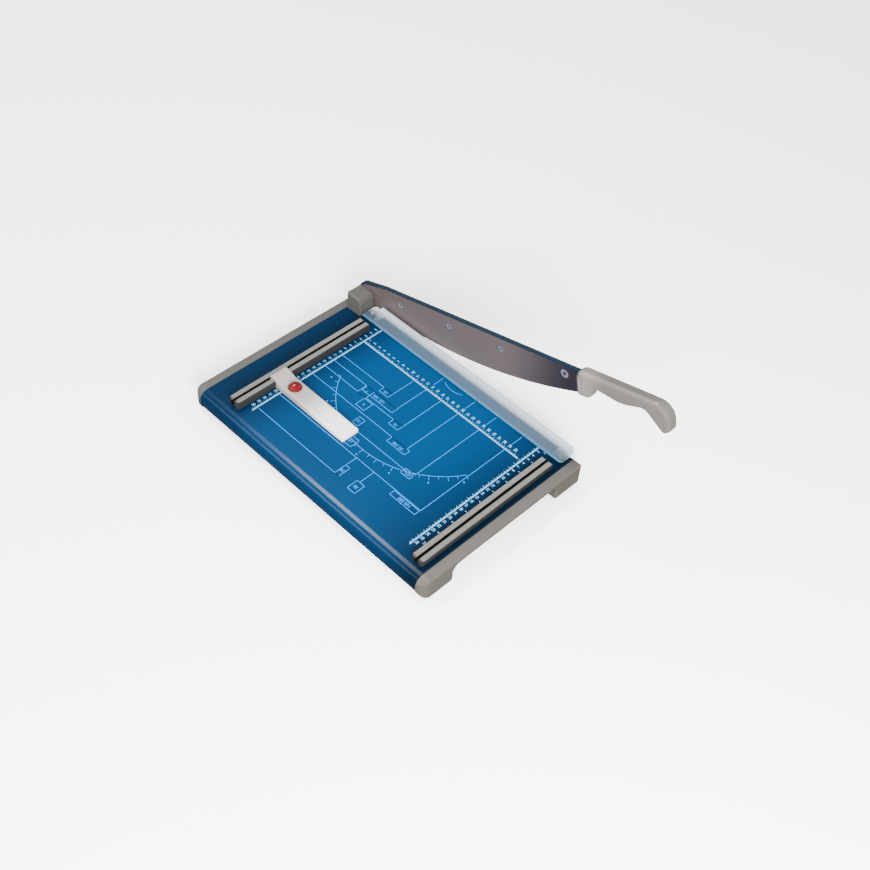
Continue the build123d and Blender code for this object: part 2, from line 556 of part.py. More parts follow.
with BuildPart() as pivot_nut:
    with BuildSketch(Plane.YZ.offset(NUT_LEFT)):
        with Locations((PIVOT_Y, PIVOT_HEIGHT)):
            RegularPolygon(NUT_WIDTH / 2, 6, major_radius=False)
            Circle(THREAD_R, mode=Mode.SUBTRACT)
    extrude(amount=NUT_THICK)
save(pivot_nut, "pivot_nut")

with BuildPart() as lock_washer:
    with BuildSketch(Plane.YZ.offset(NUT_LEFT + NUT_THICK)):
        with Locations((PIVOT_Y, PIVOT_HEIGHT)):
            Circle(LOCK_WASHER_R)
            Circle(THREAD_R, mode=Mode.SUBTRACT)
    extrude(amount=LOCK_WASHER)
save(lock_washer, "lock_washer")

with BuildPart() as thrust_washer:
    with BuildSketch(Plane.YZ.offset(HINGE_FACE)):
        with Locations((PIVOT_Y, PIVOT_HEIGHT)):
            Circle(WASHER_R)
            Circle(SHOULDER_R, mode=Mode.SUBTRACT)
    extrude(amount=KNIFE_LEFT - HINGE_FACE - RUNNING)
save(thrust_washer, "thrust_washer")

with BuildPart() as pivot_washer:
    with BuildSketch(Plane.YZ.offset(WASHER_LEFT)):
        with Locations((PIVOT_Y, PIVOT_HEIGHT)):
            Circle(WASHER_R)
            Circle(SHOULDER_R, mode=Mode.SUBTRACT)
    extrude(amount=PIVOT_WASHER)
save(pivot_washer, "pivot_washer")

with BuildPart() as disc_springs:
    # A pair of coned discs set rim to rim around the shoulder.
    with BuildSketch(Plane.XY.offset(PIVOT_HEIGHT)):
        middle = SPRING_WASHERS / 2
        for start, lean in ((SPRINGS_LEFT, 1), (SPRINGS_LEFT + SPRING_WASHERS, -1)):
            with BuildLine():
                Polyline(
                    (start, PIVOT_Y + SHOULDER_R), (start + lean * DISC_SPRING, PIVOT_Y + SHOULDER_R),
                    (start + lean * middle, PIVOT_Y + BOLT_HEAD_R),
                    (start + lean * (middle - DISC_SPRING), PIVOT_Y + BOLT_HEAD_R), close=True,
                )
            make_face()
    revolve(axis=Axis((0, PIVOT_Y, PIVOT_HEIGHT), (1, 0, 0)))
save(disc_springs, "disc_springs")

# ================================================================== knife arm
KNIFE_SIDE = arm_plane(KNIFE_LEFT).location
KNIFE_SCREWS_AT = [KNIFE_SCREW_FIRST + i * KNIFE_SCREW_PITCH for i in range(KNIFE_SCREW_COUNT)]
KNIFE_SCREWS = [KNIFE_SIDE * Location((along, KNIFE_SCREW_HEIGHT, 0), (180, 0, 0))
                for along in KNIFE_SCREWS_AT]
FRONT_BOLT = KNIFE_SIDE * Location((KNIFE_END - FRONT_BOLT_INSET, FRONT_BOLT_HEIGHT, 0), (180, 0, 0))

# The handle's screw goes in from the outer side, through the tang.
HANDLE_SIDE = arm_plane(HANDLE_RIGHT).location
HANDLE_SCREW = HANDLE_SIDE * Location((BAR_END + HANDLE_SCREW_AT, (TANG_TOP + TANG_BOTTOM) / 2, 0))
HANDLE_SCREW_LENGTH = HANDLE_RIGHT - KNIFE_RIGHT + HANDLE_SCREW_PAST

with BuildPart() as knife:
    with BuildSketch(arm_plane(KNIFE_RIGHT)):
        with BuildLine():
            Polyline((0, edge_height(0)), (0, KNIFE_HINGE_R), (BAR_TAPER, KNIFE_TOP), (KNIFE_END, KNIFE_TOP),
                     (KNIFE_END, edge_height(KNIFE_END)))
            ThreePointArc((KNIFE_END, edge_height(KNIFE_END)), (EDGE_LOW_AT, EDGE_LOW), (0, edge_height(0)))
        make_face()
        Circle(KNIFE_HINGE_R)
        Circle(BUSH_R, mode=Mode.SUBTRACT)
    extrude(amount=KNIFE)
    # Ground bevel on the far side of the curved edge.
    far_arc = knife.edges().filter_by(GeomType.CIRCLE).sort_by(SortBy.RADIUS)[-2:].sort_by(Axis.X)[-1]
    far_face = knife.faces().sort_by(Axis.X)[-1]
    chamfer(far_arc, length=BEVEL_HEIGHT, length2=BEVEL_DEPTH, reference=far_face)
    with Locations(*KNIFE_SCREWS):
        Cone(KNIFE_SCREW_HEAD_R, KNIFE_SCREW_R, KNIFE_SCREW_HEAD_R - KNIFE_SCREW_R,
             align=STANDING, mode=Mode.SUBTRACT)
        Cylinder(KNIFE_SCREW_R, 3 * KNIFE, mode=Mode.SUBTRACT)
    with Locations(FRONT_BOLT):
        Cone(FRONT_BOLT_HEAD_R, FRONT_BOLT_R, FRONT_BOLT_HEAD_R - FRONT_BOLT_R,
             align=STANDING, mode=Mode.SUBTRACT)
        Cylinder(FRONT_BOLT_R, 3 * KNIFE, mode=Mode.SUBTRACT)
save(knife, "knife")

with BuildPart() as knife_bar:
    with BuildSketch(arm_plane(BAR_RIGHT)):
        with BuildLine():
            Polyline((0, BAR_BOTTOM), (0, BAR_HINGE_R), (BAR_TAPER, BAR_TOP), (BAR_END, BAR_TOP),
                     (BAR_END, TANG_TOP), (TANG_END, TANG_TOP), (TANG_END, TANG_BOTTOM),
                     (BAR_END, TANG_BOTTOM), (BAR_END, BAR_BOTTOM), close=True)
        make_face()
        Circle(BAR_HINGE_R)
        Circle(BUSH_R, mode=Mode.SUBTRACT)
    extrude(amount=BAR)
    with Locations(*KNIFE_SCREWS):
        Cylinder(KNIFE_SCREW_R, 4 * (BAR + KNIFE), mode=Mode.SUBTRACT)
    with Locations(FRONT_BOLT):
        Cylinder(FRONT_BOLT_R, 4 * (BAR + KNIFE), mode=Mode.SUBTRACT)
    with Locations(HANDLE_SCREW):
        Cylinder(HANDLE_SCREW_R, 4 * HANDLE_THICK, mode=Mode.SUBTRACT)
save(knife_bar, "knife_bar")

with BuildPart() as knife_screws:
    with Locations(*KNIFE_SCREWS):
        countersunk(KNIFE_SCREW_R, KNIFE + BAR - SCREW_SHORT, KNIFE_SCREW_HEAD_R)
save(knife_screws, "knife_screws")

with BuildPart() as front_knife_bolt:
    with Locations(FRONT_BOLT):
        countersunk(FRONT_BOLT_R, KNIFE + BAR - SCREW_SHORT, FRONT_BOLT_HEAD_R)
        Cylinder(FRONT_BOLT_SOCKET_R, FRONT_BOLT_SOCKET, align=STANDING,
                 mode=Mode.SUBTRACT)
save(front_knife_bolt, "front_knife_bolt")

with BuildPart() as pivot_bush:
    with BuildSketch(Plane.YZ.offset(KNIFE_LEFT)):
        with Locations((PIVOT_Y, PIVOT_HEIGHT)):
            Circle(BUSH_R)
            Circle(SHOULDER_R + RUNNING, mode=Mode.SUBTRACT)
    extrude(amount=KNIFE + BAR)
save(pivot_bush, "pivot_bush")

# Handle outline: lengths past the end of the bar, heights, and the rounding of each corner.
HANDLE_OUTLINE = [
    (-5.2, HANDLE_TOP, 13), (-4.8, -12.2, 5.6),            # nose over the bar
    (14.5, -12.2, 7), (27.5, 7.8, 9),                      # finger stop
    (69, 1.4, 60), (105, 10.6, 14),                        # swelling grip
    (133.8, -16.2, 5.6), (144.2, -8.5, 9), (144.2, HANDLE_TOP, 23),   # hooked tail
]

with BuildPart() as handle:
    with BuildSketch(arm_plane(HANDLE_RIGHT)):
        with BuildLine():
            FilletPolyline(*[(BAR_END + along, height) for along, height, _ in HANDLE_OUTLINE],
                           radius=[rounding for _, _, rounding in HANDLE_OUTLINE], close=True)
        make_face()
    extrude(amount=HANDLE_THICK)
    fillet(handle.edges().filter_by(Plane.YZ), radius=HANDLE_ROUND)
    # Pocket for the end of the bar with its tang, and beside it for the knife.
    nose_length = HANDLE_POCKET_GAP - HANDLE_OUTLINE[0][0]
    with BuildSketch(arm_plane(BAR_RIGHT)):
        with Locations((BAR_END, BAR_TOP)):
            Rectangle(nose_length, BAR_TOP - BAR_BOTTOM, align=Align.MAX)
        with Locations((BAR_END, TANG_TOP)):
            Rectangle(TANG_END - BAR_END, TANG_TOP - TANG_BOTTOM, align=(Align.MIN, Align.MAX))
    extrude(amount=BAR, mode=Mode.SUBTRACT)
    with BuildSketch(arm_plane(KNIFE_RIGHT)):
        with Locations((KNIFE_END, KNIFE_TOP)):
            Rectangle(nose_length + KNIFE_END - BAR_END, 2 * KNIFE_TOP, align=Align.MAX)
    extrude(amount=KNIFE, mode=Mode.SUBTRACT)
    with Locations(HANDLE_SCREW):
        Cylinder(HANDLE_SCREW_HEAD_R, 2 * HANDLE_SCREW_HEAD, mode=Mode.SUBTRACT)
        Cylinder(HANDLE_SCREW_R, HANDLE_SCREW_LENGTH, mode=Mode.SUBTRACT,
                 align=STANDING)
save(handle, "handle")

with BuildPart() as handle_screw:
    with Locations(HANDLE_SCREW):
        with Locations((0, 0, HANDLE_SCREW_HEAD)):
            shank = HANDLE_SCREW_LENGTH - HANDLE_SCREW_HEAD
            screw(HANDLE_SCREW_R, shank, HANDLE_SCREW_HEAD_R, HANDLE_SCREW_HEAD)
save(handle_screw, "handle_screw")


# ================================================================== guard
def guard_path(inset):
    """Hood section of the guard from its lip to its outer foot, moved inwards by the inset."""
    lip_x, wall_x = GUARD_LEFT + inset, GUARD_RIGHT - inset
    shoulder_x, shoulder_z = GUARD_LEFT + GUARD_SHOULDER[0], GUARD_BOTTOM + GUARD_SHOULDER[1] - inset
    FilletPolyline(
        (lip_x, GUARD_BOTTOM), (lip_x, GUARD_BOTTOM + GUARD_LIP - inset / 3), (shoulder_x, shoulder_z),
        (wall_x, GUARD_BOTTOM + GUARD_HEIGHT - inset), (wall_x, GUARD_BOTTOM),
        radius=[GUARD_ROUND - inset / 2, 3 * GUARD_ROUND - inset, GUARD_ROUND + 1 - inset],
        close=False,
    )
    Line((wall_x, GUARD_BOTTOM), (lip_x, GUARD_BOTTOM))


with BuildPart() as guard:
    with BuildSketch(Plane.XZ.offset(-HOOD_END)):
        with BuildLine():
            guard_path(0)
        make_face()
    extrude(amount=HOOD_END - GUARD_Y[0])
    # The front end closes in a nose that is rounded in side view and in plan.
    with BuildSketch(Plane.YZ.offset(GUARD_LEFT)) as side_view:
        with Locations((GUARD_Y[0], GUARD_BOTTOM)):
            Rectangle(HOOD_END - GUARD_Y[0], GUARD_HEIGHT, align=Align.MIN)
        fillet(side_view.vertices().group_by(Axis.Y)[0].sort_by(Axis.Z)[-1], radius=GUARD_NOSE_ROUND)
    extrude(amount=GUARD_WIDTH, mode=Mode.INTERSECT)
    with BuildSketch(Plane.XY.offset(GUARD_BOTTOM)) as plan_view:
        with Locations((GUARD_LEFT, GUARD_Y[0])):
            Rectangle(GUARD_WIDTH, HOOD_END - GUARD_Y[0], align=Align.MIN)
        fillet(plan_view.vertices().group_by(Axis.Y)[0], radius=GUARD_NOSE_CORNER)
    extrude(amount=GUARD_HEIGHT, mode=Mode.INTERSECT)
    with BuildSketch(Plane.XZ.offset(-HOOD_END)):
        with BuildLine():
            guard_path(GUARD_WALL)
        make_face()
    extrude(amount=HOOD_END - GUARD_Y[0] - 2 * GUARD_WALL, mode=Mode.SUBTRACT)
    # Guide lugs: one inside the nose, one behind the hood.
    with Locations((GUARD_X, GUARD_Y[0] + GUARD_WALL, GUARD_BOTTOM)):
        Box(GUARD_WIDTH - 2 * GUARD_WALL + 1, 2 * POST_INSET, GUARD_FLOOR,
            align=(Align.CENTER, Align.MIN, Align.MIN))
    with Locations((GUARD_LEFT, GUARD_Y[1], GUARD_BOTTOM)):
        Box(GUARD_WIDTH, GUARD_TAIL + GUARD_WALL, GUARD_FLOOR,
            align=(Align.MIN, Align.MAX, Align.MIN))
    with Locations(*POSTS):
        Cylinder(POST_R + RUNNING, GUARD_LIFT + GUARD_FLOOR + 1, mode=Mode.SUBTRACT,
                 align=STANDING)
        Cylinder(SPRING_SEAT_R, GUARD_LIFT + SPRING_SEAT, mode=Mode.SUBTRACT,
                 align=STANDING)
save(guard, "guard")

with BuildPart() as guard_posts:
    with Locations(*POSTS):
        Cylinder(POST_R, LUG_TOP - TABLE_TOP + RUNNING, align=STANDING)
        Cylinder(SMALL_SCREW_R, 2 * SHEET, align=HANGING)
    with Locations(*[place * Location((0, 0, LUG_TOP - TABLE_TOP + RUNNING)) for place in POSTS]):
        Cylinder(POST_HEAD_R, POST_HEAD, align=STANDING)
save(guard_posts, "guard_posts")


def coil_spring(radius, length, turns, wire):
    """Compression spring along local +Z between two faces, open coils of square wire."""
    height = length - WIRE_STANDS * wire
    path = Helix(pitch=height / turns, height=height, radius=radius, mode=Mode.PRIVATE)
    with BuildPart(mode=Mode.PRIVATE) as coil:
        with BuildSketch(Plane(path @ 0, z_dir=path % 0)):
            Rectangle(wire, wire)
        sweep(path=path)
    return coil.part.moved(Location((0, 0, WIRE_STANDS * wire / 2)))


with BuildPart() as guard_springs:
    with Locations(*POSTS):
        add(coil_spring(GUARD_SPRING_R, GUARD_LIFT + SPRING_SEAT, GUARD_SPRING_TURNS, SPRING_WIRE))
save(guard_springs, "guard_springs")

# ================================================================== back gauge
GAUGE_SIDE = Plane.YZ.offset(GAUGE_X - GAUGE_WIDTH / 2)

with BuildPart() as gauge:
    with BuildSketch(GAUGE_SIDE):
        with BuildLine():
            Spline((HUMP_START, GAUGE_TOP), (REAR_RAIL_FACE, HEAD_TOP), (HEAD_BACK, HEAD_END_TOP),
                   tangents=[(1, 0), (1, -0.4)])
            Polyline((HEAD_BACK, HEAD_END_TOP), (HEAD_BACK, HEAD_UNDER),
                     (GAUGE_BACK, HEAD_UNDER), (GAUGE_BACK, GAUGE_BOTTOM), (GAUGE_FRONT, GAUGE_BOTTOM),
                     (GAUGE_FRONT, GAUGE_BOTTOM + GAUGE_TIP_HEIGHT), (SLOPE_END, GAUGE_TOP),
                     (HUMP_START, GAUGE_TOP))
        make_face()
    extrude(amount=GAUGE_WIDTH)
    sides = gauge.faces().sort_by(Axis.X)
    top_edges = [edge for face in (sides[0], sides[-1]) for edge in face.edges()
                 if edge.center().Z > GAUGE_BOTTOM + GAUGE_TIP_HEIGHT and abs(edge.tangent_at(0.5).Y) > 0.5
                 and edge.center().Z != HEAD_UNDER]
    end_edges = [gauge.faces().sort_by(Axis.Y)[end].edges().sort_by(Axis.Z)[-1] for end in (0, -1)]
    fillet(top_edges + end_edges, radius=GAUGE_ROUND)
    # Hollow underneath, closed by a bottom plate.
    with BuildSketch(GAUGE_SIDE.offset(GAUGE_WALL)):
        with BuildLine():
            Polyline((GAUGE_FRONT + GAUGE_WALL, GAUGE_BOTTOM),
                     (GAUGE_FRONT + GAUGE_WALL, GAUGE_BOTTOM + GAUGE_TIP_HEIGHT - GAUGE_WALL),
                     (SLOPE_END, GAUGE_ROOF), (GAUGE_BACK - GAUGE_WALL, GAUGE_ROOF),
                     (GAUGE_BACK - GAUGE_WALL, GAUGE_BOTTOM), close=True)
        make_face()
    extrude(amount=GAUGE_WIDTH - 2 * GAUGE_WALL, mode=Mode.SUBTRACT)
    with Locations((GAUGE_X, BUTTON_Y, GAUGE_ROOF - 0.1)):
        Cylinder(BUTTON_R + BUTTON_FIT, GAUGE_WALL + 1, mode=Mode.SUBTRACT,
                 align=STANDING)
    # Window for the brake, groove for the stem of the shoe.
    with Locations((GAUGE_X, GAUGE_BACK, (BRAKE_BOTTOM + BRAKE_TOP) / 2)):
        Box(BRAKE_WIDTH + 2 * BRAKE_FIT, 3 * GAUGE_WALL, BRAKE_HEIGHT + 2 * BRAKE_FIT, mode=Mode.SUBTRACT)
    with Locations((GAUGE_X, REAR_RAIL_Y, HEAD_UNDER)):
        Box(SHOE_LENGTH, SLOT_WIDTH - 2 * SHOE_FIT, 2 * SHOE_GROOVE, mode=Mode.SUBTRACT)
save(gauge, "back_gauge")

with BuildPart() as gauge_plate:
    with Locations((GAUGE_X, (GAUGE_FRONT + GAUGE_BACK) / 2, GAUGE_BOTTOM)):
        Box(GAUGE_WIDTH - 2 * GAUGE_WALL, GAUGE_BACK - GAUGE_FRONT - 2 * GAUGE_WALL, GAUGE_FLOOR,
            align=STANDING)
save(gauge_plate, "gauge_bottom_plate")

with BuildPart() as gauge_shoe:
    lip_under = TABLE_TOP + REAR_RAIL_HEIGHT - LIP
    shoe_bottom = TABLE_TOP + REAR_RAIL_HEIGHT - REAR_SLOT_DEPTH + SHOE_FIT
    with Locations((GAUGE_X, REAR_RAIL_Y, shoe_bottom)):
        Box(SHOE_LENGTH, T_WIDTH - 2 * SHOE_FIT, lip_under - SHOE_FIT - shoe_bottom,
            align=STANDING)
        Box(SHOE_LENGTH, SLOT_WIDTH - 2 * SHOE_FIT, HEAD_UNDER + SHOE_GROOVE - shoe_bottom,
            align=STANDING)
save(gauge_shoe, "gauge_shoe")


# The button's leg and the slider's slot slant together, so that pressing draws the brake back.
def slanted(bottom, top, start, width):
    """Parallelogram on the YZ plane that leans towards the rail as it goes down."""
    Polygon((start, top), (start + width, top), (start + width + top - bottom, bottom),
            (start + top - bottom, bottom), align=None)


LEG_START = BUTTON_Y - BRAKE_SLOT
LEG_BOTTOM = BRAKE_BOTTOM - BRAKE_FIT + BUTTON_TRAVEL + LEG_GAP
SLOT_START = LEG_START + FLANGE_UNDER - BRAKE_TOP

with BuildPart() as release_button:
    with BuildSketch(Plane.XZ.offset(-BUTTON_Y)):
        with BuildLine():
            rim = GAUGE_TOP + BUTTON_RIM
            Polyline((0, FLANGE_UNDER), (BUTTON_R + BUTTON_FLANGE, FLANGE_UNDER),
                     (BUTTON_R + BUTTON_FLANGE, FLANGE_TOP), (BUTTON_R, FLANGE_TOP), (BUTTON_R, rim))
            RadiusArc((BUTTON_R, rim), (0, rim + BUTTON_DOME),
                      -(BUTTON_R**2 + BUTTON_DOME**2) / (2 * BUTTON_DOME))
            Line((0, rim + BUTTON_DOME), (0, FLANGE_UNDER))
        make_face()
    revolve(axis=Axis((0, BUTTON_Y, 0), (0, 0, 1)))
    with BuildSketch(Plane.YZ.offset(-LEG_WIDTH / 2)):
        slanted(LEG_BOTTOM, FLANGE_UNDER, LEG_START, BRAKE_SLOT)
    extrude(amount=LEG_WIDTH)
release_button.part = release_button.part.moved(Location((GAUGE_X, 0, 0)))
save(release_button, "release_button")

PAD_END = REAR_RAIL_FACE - GAUGE_RAIL_GAP
BRAKE_FRONT = LEG_START - 2 * BRAKE_SLOT
SPRING_Y = BUTTON_Y + BUTTON_R - BUTTON_SPRING_R
SPRING_WINDOW = 2 * (BUTTON_SPRING_R + SPRING_WIRE + BRAKE_FIT)

with BuildPart() as brake_slider:
    with Locations((GAUGE_X, BRAKE_FRONT, BRAKE_BOTTOM)):
        Box(BRAKE_WIDTH, PAD_END - BRAKE_PAD - BRAKE_FRONT, BRAKE_HEIGHT,
            align=(Align.CENTER, Align.MIN, Align.MIN))
    with BuildSketch(Plane.YZ.offset(GAUGE_X - LEG_WIDTH / 2 - BRAKE_FIT)):
        slanted(BRAKE_BOTTOM, BRAKE_TOP, SLOT_START - BRAKE_FIT, BRAKE_SLOT + 2 * BRAKE_FIT)
    extrude(amount=LEG_WIDTH + 2 * BRAKE_FIT, mode=Mode.SUBTRACT)
    with BuildSketch(Plane.XY.offset(BRAKE_BOTTOM)):
        with Locations((GAUGE_X, SPRING_Y + BUTTON_TRAVEL / 2)):
            SlotOverall(SPRING_WINDOW + BUTTON_TRAVEL, SPRING_WINDOW, rotation=90)
    extrude(amount=BRAKE_HEIGHT, mode=Mode.SUBTRACT)
save(brake_slider, "brake_slider")

with BuildPart() as brake_pad:
    with Locations((GAUGE_X, PAD_END, BRAKE_BOTTOM)):
        Box(BRAKE_WIDTH, BRAKE_PAD, BRAKE_HEIGHT, align=(Align.CENTER, Align.MAX, Align.MIN))
save(brake_pad, "brake_pad")

with BuildPart() as button_spring:
    spring_bottom = GAUGE_BOTTOM + GAUGE_FLOOR
    with Locations((GAUGE_X, SPRING_Y, spring_bottom)):
        add(coil_spring(BUTTON_SPRING_R, FLANGE_UNDER - spring_bottom, BUTTON_SPRING_TURNS, SPRING_WIRE))
save(button_spring, "button_spring")
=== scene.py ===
"""Looks of a desk lever cutter for A4 paper, dressed around the frame of its solid parts.

The enamelled table is printed with scales, format lines and a protractor, the rails carry fine cross
ribs, and every surface gets the finish its maker gave it. Metres, in the frame's own axes: +X is the
knife side, +Y the hinge end, +Z up.
"""
import json
from math import cos, radians, sin

import bmesh
import bpy
from mathutils import Matrix, Vector


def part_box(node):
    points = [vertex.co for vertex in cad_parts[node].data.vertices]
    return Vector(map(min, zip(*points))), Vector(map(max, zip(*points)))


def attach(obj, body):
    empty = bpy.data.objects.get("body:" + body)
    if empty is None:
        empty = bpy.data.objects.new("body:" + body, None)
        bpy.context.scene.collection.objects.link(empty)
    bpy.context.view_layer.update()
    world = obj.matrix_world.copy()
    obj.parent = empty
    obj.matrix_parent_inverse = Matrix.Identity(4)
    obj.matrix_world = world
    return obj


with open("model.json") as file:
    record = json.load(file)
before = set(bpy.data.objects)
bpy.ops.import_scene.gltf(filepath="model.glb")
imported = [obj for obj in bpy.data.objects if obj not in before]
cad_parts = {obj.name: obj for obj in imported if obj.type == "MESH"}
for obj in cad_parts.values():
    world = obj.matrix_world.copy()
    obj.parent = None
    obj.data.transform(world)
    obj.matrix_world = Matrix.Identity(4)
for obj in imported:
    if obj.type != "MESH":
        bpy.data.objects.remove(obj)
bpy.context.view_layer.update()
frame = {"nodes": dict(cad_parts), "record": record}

MM = 0.001

# ------------------------------------------------------------------ places read from the frame
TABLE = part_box("table_plate")
TOP = TABLE[1].z
CUT_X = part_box("bed_knife")[1].x
FRONT_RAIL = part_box("front_rail")
REAR_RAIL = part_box("rear_rail")
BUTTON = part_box("release_button")

# ------------------------------------------------------------------ sizes of the pieces, in millimetres
SLOT = 3.8                                # width of the slots in the rails
CAP_DEPTH = 15.0                          # end caps, along Y
BEND = 14.0                               # bend of the table's left side
BUTTON_R, BUTTON_PROUD = 9.7, 6.5         # release button, and how far its top stands above the gauge
RIB_HEIGHT, RIB_PITCH = 0.35, 2.3
RIB_TO_SLOT, RIB_TO_EDGE = 0.5, 0.6       # bare margins of a ribbed strip, along Y
RIB_LEFT, RIB_RIGHT = 3.5, 0.8            # and at its two ends
SEAM, SEAM_TO_CUT = 0.9, 3.0              # width of the sheet's seams, and where they stop at the knife
RING = (0.25, 1.1)                        # inner and outer side of the ring, beyond the button
FILM = 0.03                               # how far a flat mark lies off its surface
SOCKETS = (("knife_screws", 1.9), ("front_knife_bolt", 2.9))       # screws, and their sockets' radius
HEAD_APART = 15                           # two screw heads are further apart than this

# ------------------------------------------------------------------ print on the table, in millimetres
# Measured from the corner of the two scales: x across the table, y towards the rear rail.
SCALE_TO_CUT = 60.3
SCALE_TO_RAIL = 12.4
SCALE_X = CUT_X - SCALE_TO_CUT * MM       # the long scale's line
SCALE_Y = REAR_RAIL[0].y - SCALE_TO_RAIL * MM
PRINT_Z = TOP + 0.04 * MM
LONG_SCALE = 305.7                        # length of the scale along the knife
WIDE_SCALE = (-208.0, 36.0)               # ends of the scales along the rails
FRONT_SCALE_Y = -311.8
BOLD, FINE, MARK, ANGLE_MARK = 1.0, 0.8, 0.3, 0.6           # line widths
KNIFE_MARKS = range(14, 318)              # marks of the long scale, in millimetres from the rear rail
RAIL_MARKS = range(25, 268)               # marks of the wide scales, from the cutting edge
KNIFE_REACH = (5.0, 3.6, 2.4)             # length of a mark at a full centimetre, at a half and between
RAIL_REACH = (4.4, 3.2, 2.0)
KNIFE_DIGITS, RAIL_DIGITS, BOX_DIGITS = 4.0, 3.8, 4.6       # heights of the numbers
KNIFE_COLUMN, KNIFE_ZERO = 9.2, 6.3       # column of the numbers beside the knife, and where 0 would be
REAR_ROW = 7.6                            # rows of numbers behind the rear scale and before the front one
FRONT_ROW, INCH_ROW = FRONT_SCALE_Y - 4.6, FRONT_SCALE_Y - 12.2
INCH = 25.4
DIGIT = 0.69                              # height of a digit of the built-in font at size 1
# Sheet formats nested in the corner: how far each reaches along the rear scale and along the knife.
FORMATS = ((42, 106), (58, 130.5), (75, 160), (99, 193.5), (127, 234), (160, 282.5))
# Lines that lead to the outer number boxes.
LEADS = ((-199, -3, -199, -168), (-178, -160, -160, -160), (-186, -194.5, -160, -194.5))
# Number boxes: left, right, front and rear side, and the number.
BOXES = (
    (-52, -42, -106, -88, "10"), (-68, -58, -131, -70, "130 180"), (-85, -75, -160, -142, "16"),
    (-94, -77, -102, -85, "9"), (-120, -106, -118, -107, "12"), (-75, -58, -86, -69, "7"),
    (-109, -99, -199, -164, "99 190"), (-134, -124, -234, -217, "23"), (-153, -137, -140, -125, "15"),
    (-170.6, -161.6, -281.7, -235.3, "160 280"), (-199, -179, -168, -160, "18"),
    (-204, -186, -204, -190, "20"),
)
# Protractor for angled sheets: its arc with marks every 5 degrees and dots, and a short arc by the knife.
ARC_CENTRE, ARC_RADIUS, ARC_REACH = (0, -155), 144, 60
ARC_MARKS = (5, 8)                        # length of a mark between tens of degrees and at them
ARC_DOTS, DOT_OUT, DOT_R = (-57.5, -40, -20, 0, 20, 40, 57.5), 12, 1.3
SHORT_ARC = ((58, -155), 33, 148, 212)    # centre, radius, and the two angles
ARC_STEPS = 40
SHEET_ENDS, SHEET_END_X = (130.5, 193.2, 234, 283), (14, 34)       # format ends marked beside the knife

# ------------------------------------------------------------------ studio
CAMERA_AT = (-827.3, -830.9, 1291.1)      # millimetres
CAMERA_RIGHT, CAMERA_UP = (0.70918, -0.70275, 0.05656), (0.49056, 0.54948, 0.67633)
SENSOR, LENS, CLIP = 36, 51.84, (0.1, 50)
FLOOR_SIZE = 60
TENT_SIDES, TENT_TOP, TENT_BELOW = 3.0, 1.0, 0.12           # strength of the light tent
TENT_IN_GLOSS = 0.3
# Soft boxes: name, place, width and height, power, and whether polished surfaces mirror them.
LAMPS = (
    ("strip", (0.0, 1.2, 2.4), (1.5, 0.4), 95, True),           # draws the line along the table's bend
    ("front", (-0.9, -1.35, 0.95), (0.8, 0.6), 185, False),     # opens the faces towards the operator
    ("side", (-2.0, -0.2, 0.9), (0.8, 0.8), 45, False),
    ("edge", (-2.2, 1.4, 1.5), (0.9, 0.7), 26, True),
    ("rim", (2.4, -0.8, 1.2), (1.2, 1.2), 12, True),
)


def make_camera():
    """Camera in front of the operator's left shoulder, looking down across the table."""
    camera = bpy.data.objects.new("camera", bpy.data.cameras.new("camera"))
    bpy.context.scene.collection.objects.link(camera)
    right, up = Vector(CAMERA_RIGHT), Vector(CAMERA_UP)
    place = Matrix((right, up, right.cross(up))).transposed().to_4x4()
    place.translation = Vector(CAMERA_AT) * MM
    camera.matrix_world = place
    camera.data.sensor_width, camera.data.lens = SENSOR, LENS
    camera.data.clip_start, camera.data.clip_end = CLIP
    bpy.context.scene.camera = camera


def add_light(name, at, size, power, mirrored):
    """Soft box of the given width and height that faces the middle of the table."""
    lamp = bpy.data.lights.new(name, "AREA")
    lamp.shape = "RECTANGLE"
    lamp.size, lamp.size_y = size
    lamp.energy = power
    box = bpy.data.objects.new(name, lamp)
    box.visible_glossy = mirrored
    bpy.context.scene.collection.objects.link(box)
    box.location = at
    box.rotation_euler = (Vector((0, 0, 0)) - Vector(at)).to_track_quat("-Z", "Y").to_euler()


def make_studio():
    """Light tent, soft boxes and a white floor."""
    world = bpy.data.worlds.new("studio")
    bpy.context.scene.world = world
    world.use_nodes = True
    tree = world.node_tree
    tree.nodes.clear()
    # The tent is brighter at its sides than overhead. Gloss meets a darker surround, as it would the
    # black cards round a product table.
    way = add(tree, "ShaderNodeTexCoord").outputs["Generated"]
    height = add(tree, "ShaderNodeSeparateXYZ", {0: way}).outputs["Z"]
    gloss = add(tree, "ShaderNodeLightPath").outputs["Is Glossy Ray"]
    below = ramp(tree, height, -0.3, -0.1, TENT_BELOW, 1.0)
    tent = product(tree, between(tree, height, TENT_SIDES, TENT_TOP), below)
    strength = add(tree, "ShaderNodeMix", {"Factor": gloss, 2: tent, 3: TENT_IN_GLOSS}).outputs[0]
    sky = add(tree, "ShaderNodeBackground", {"Color": (1, 1, 1, 1), "Strength": strength})
    add(tree, "ShaderNodeOutputWorld", {"Surface": sky.outputs[0]})
    for lamp in LAMPS:
        add_light(*lamp)

    bpy.ops.mesh.primitive_plane_add(size=FLOOR_SIZE)
    floor = bpy.context.active_object
    floor.name = "floor"
    floor.visible_diffuse = floor.visible_glossy = False       # it throws no light back up on the cutter
    material, tree, _ = start("white_paper_floor")
    finish_material(tree, {"Base Color": linear("FFFFFF"), "Roughness": 0.95, "Specular IOR Level": 0.0})
    floor.data.materials.append(material)


